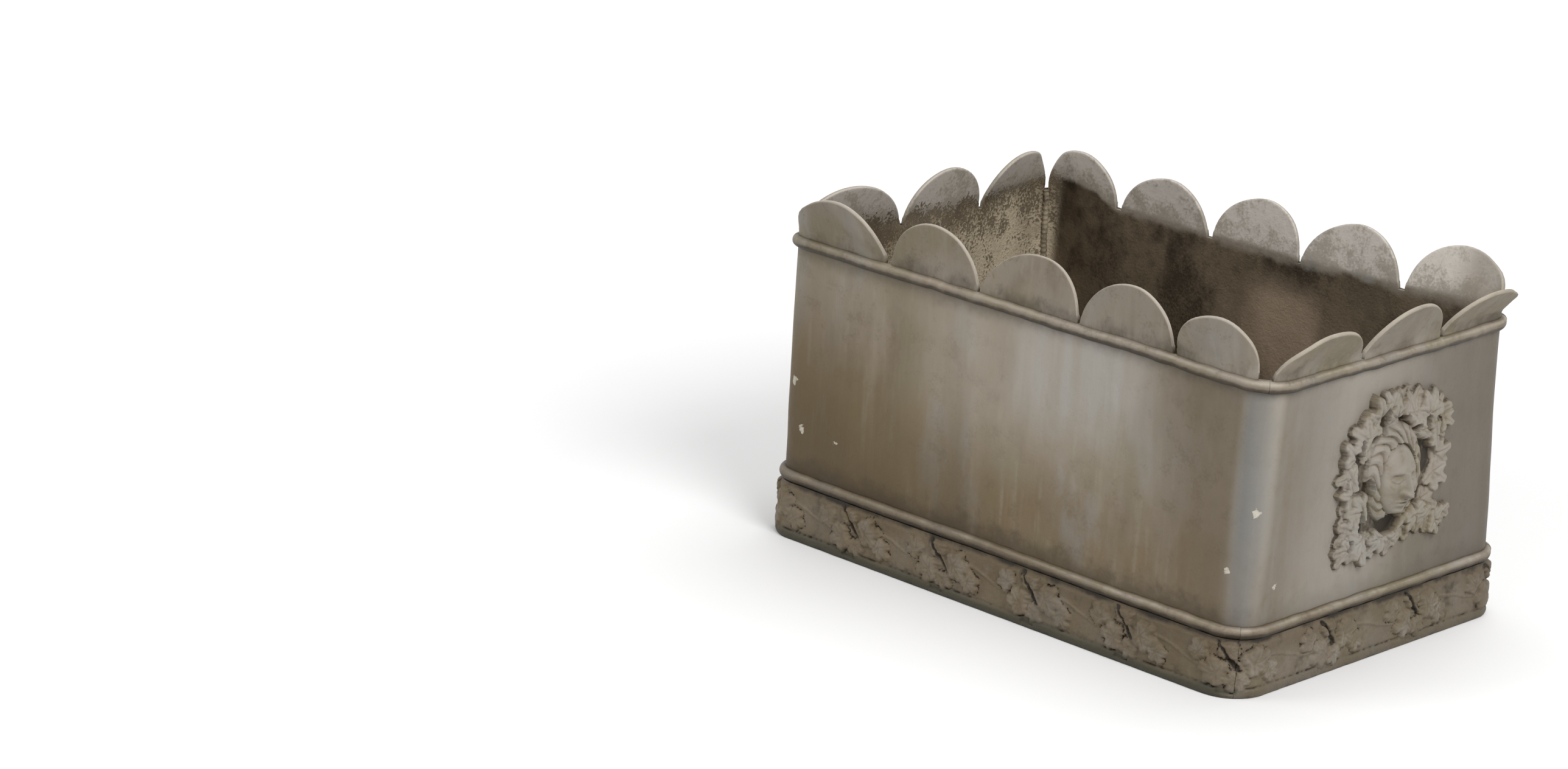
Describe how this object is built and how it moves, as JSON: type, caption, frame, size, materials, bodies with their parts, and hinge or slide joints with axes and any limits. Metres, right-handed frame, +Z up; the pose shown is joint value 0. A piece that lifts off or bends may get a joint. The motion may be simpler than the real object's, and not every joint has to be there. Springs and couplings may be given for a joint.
{
  "type": "rectangular lead trough planter",
  "caption": "Rectangular lead trough with rounded corners, scalloped tabs round the rim, roll mouldings, a leaf frieze round the foot and a foliate mask on each end.",
  "frame": {"origin": "the centre of the underside of the base plate, on the ground", "axes": "+X along the trough towards the right end, +Z up, the front long wall faces -Y"},
  "size_m": [0.9618, 0.6394, 0.515],
  "materials": {
    "sheet_lead": "weathered sheet lead, dull grey with brown and olive streaks",
    "burned_lead": "burned lead seam, rippled and dull",
    "base_lead": "sheet lead stained dark by soil",
    "moulding_lead": "cast lead moulding, pale on its crest",
    "cast_lead": "cast lead relief, dark in its hollows",
    "mask_lead": "cast lead, pale on the high parts"
  },
  "bodies": {
    "root": {"front_wall": "sheet_lead", "right_wall": "sheet_lead", "back_wall": "sheet_lead", "left_wall": "sheet_lead", "corner_seam_front_right": "burned_lead", "corner_seam_back_right": "burned_lead", "corner_seam_back_left": "burned_lead", "corner_seam_front_left": "burned_lead", "base_plate": "base_lead", "base_seam": "burned_lead", "rim_moulding_front": "moulding_lead", "rim_moulding_right": "moulding_lead", "rim_moulding_back": "moulding_lead", "rim_moulding_left": "moulding_lead", "frieze_front": "cast_lead", "frieze_right": "cast_lead", "frieze_back": "cast_lead", "frieze_left": "cast_lead", "frieze_moulding_front": "moulding_lead", "frieze_moulding_right": "moulding_lead", "frieze_moulding_back": "moulding_lead", "frieze_moulding_left": "moulding_lead", "mask_right": "mask_lead", "mask_left": "mask_lead"}
  },
  "joints": []
}
